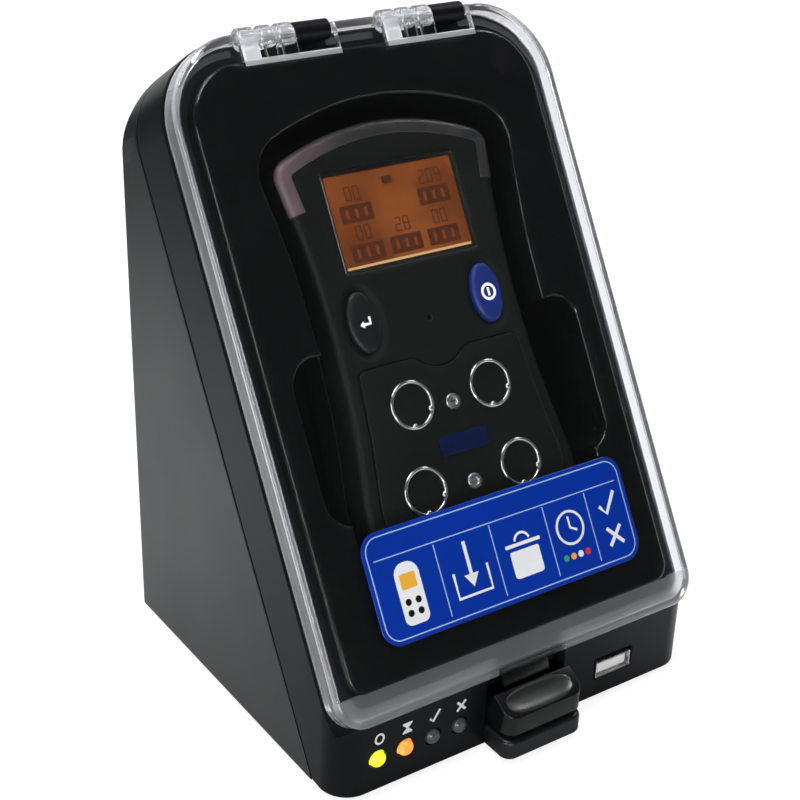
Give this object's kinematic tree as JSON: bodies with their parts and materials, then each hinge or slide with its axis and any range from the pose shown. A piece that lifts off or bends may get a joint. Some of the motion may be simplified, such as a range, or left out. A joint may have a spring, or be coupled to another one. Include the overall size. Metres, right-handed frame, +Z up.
{
  "type": "portable gas detector in its docking station",
  "caption": "Wedge-shaped docking station with a clear hinged lid, a sprung latch, status lamps and a USB socket, holding a handheld gas detector with a display, keys and sensor ports.",
  "frame": {"origin": "on the floor, under the middle of the part's bounding box", "axes": "+X to the right as seen from the front, -Y out of the nose towards the user, +Z up"},
  "size_m": [0.124, 0.1386, 0.1828],
  "materials": {
    "housing_plastic": "fine texture, satin",
    "front_plastic": "fine texture, satin",
    "base_plastic": "satin",
    "black_rubber": "matt",
    "seal_rubber": "matt",
    "cradle_plastic": "gloss",
    "steel": "brushed",
    "spring_steel": "drawn wire",
    "lamp_green": "lit lens",
    "lamp_orange": "lit lens",
    "lamp_dark": "unlit lens",
    "circuit_board": "solder mask",
    "socket_steel": "plated",
    "socket_insulator": "moulded",
    "sensor_black": "gloss",
    "contact_gold": "plated",
    "chip_black": "moulded",
    "pump_plastic": "moulded",
    "motor_steel": "drawn can",
    "manifold_alloy": "machined",
    "valve_plastic": "moulded",
    "fitting_brass": "machined",
    "filter_plastic": "moulded",
    "clear_tube": "clear hose",
    "jack_plastic": "moulded",
    "clear_lid": "clear, polished",
    "label_film": "printed film",
    "lever_plastic": "gloss",
    "case_black": "satin",
    "window_clear": "clear",
    "lcd_orange": "backlit",
    "button_dark": "moulded",
    "button_blue": "moulded",
    "mat_rubber": "silicone",
    "ring_chrome": "bright",
    "filter_black": "membrane",
    "sensor_can": "drawn can",
    "plate_blue": "printed film",
    "light_bar": "translucent",
    "battery_wrap": "shrink wrap"
  },
  "bodies": {
    "station": {"rear_shell": "housing_plastic", "front_shell": "front_plastic", "base_plate": "base_plastic", "rubber_feet": "black_rubber", "dock_cradle": "cradle_plastic", "dock_pads": "black_rubber", "lid_seal": "seal_rubber", "hinge_pins": "steel", "latch_tongue": "front_plastic", "latch_pin": "steel", "latch_spring": "spring_steel", "lamp_ready": "lamp_green", "lamp_busy": "lamp_orange", "lamp_pass": "lamp_dark", "lamp_fail": "lamp_dark", "lamp_board": "circuit_board", "usb_shell": "socket_steel", "usb_insulator": "socket_insulator", "usb_board": "circuit_board", "lid_sensor": "sensor_black", "contact_pins": "contact_gold", "main_board": "circuit_board", "board_chips": "chip_black", "pump_head": "pump_plastic", "pump_motor": "motor_steel", "valve_manifold": "manifold_alloy", "solenoid_valves": "valve_plastic", "gas_inlet": "fitting_brass", "air_inlet": "filter_plastic", "exhaust_outlet": "fitting_brass", "gas_tubes": "clear_tube", "power_jack": "jack_plastic", "case_screws": "steel", "base_screws": "steel", "cradle_screws": "steel", "board_screws": "steel", "detector_front_case": "case_black", "detector_rear_case": "case_black", "display_window": "window_clear", "lcd_panel": "lcd_orange", "keypad_mat": "mat_rubber", "sensor_cover": "case_black", "sensor_rings": "ring_chrome", "sensor_filters": "filter_black", "gas_sensors": "sensor_can", "cover_screws": "steel", "name_plate": "plate_blue", "alarm_light_bar": "light_bar", "detector_board": "circuit_board", "battery_pack": "battery_wrap", "sounder": "chip_black", "detector_screws": "steel"},
    "lid": {"lid": "clear_lid", "lid_label": "label_film"},
    "latch": {"latch_lever": "lever_plastic"},
    "enter_key": {"enter_button": "button_dark"},
    "power_key": {"power_button": "button_blue"}
  },
  "joints": [
    {"name": "lid_hinge", "type": "hinge", "parent": "station", "child": "lid", "pos_m": [0, 0.03487, 0.17958], "axis": [-1, 0, 0], "range_deg": [0, 105]},
    {"name": "latch_pivot", "type": "hinge", "parent": "station", "child": "latch", "pos_m": [0, -0.05405, 0.0119], "axis": [1, 0, 0], "range_deg": [0, 5.5], "stiffness_Nm_per_rad": 0.1, "springref_deg": -8.59, "deforming": ["latch_spring"]},
    {"name": "enter_press", "type": "slide", "parent": "station", "child": "enter_key", "axis": [0, 0.8581, -0.5135], "range_m": [0, 0.001], "stiffness_N_per_m": 800, "springref_m": -0.0005},
    {"name": "power_press", "type": "slide", "parent": "station", "child": "power_key", "axis": [0, 0.8581, -0.5135], "range_m": [0, 0.001], "stiffness_N_per_m": 800, "springref_m": -0.0005}
  ]
}
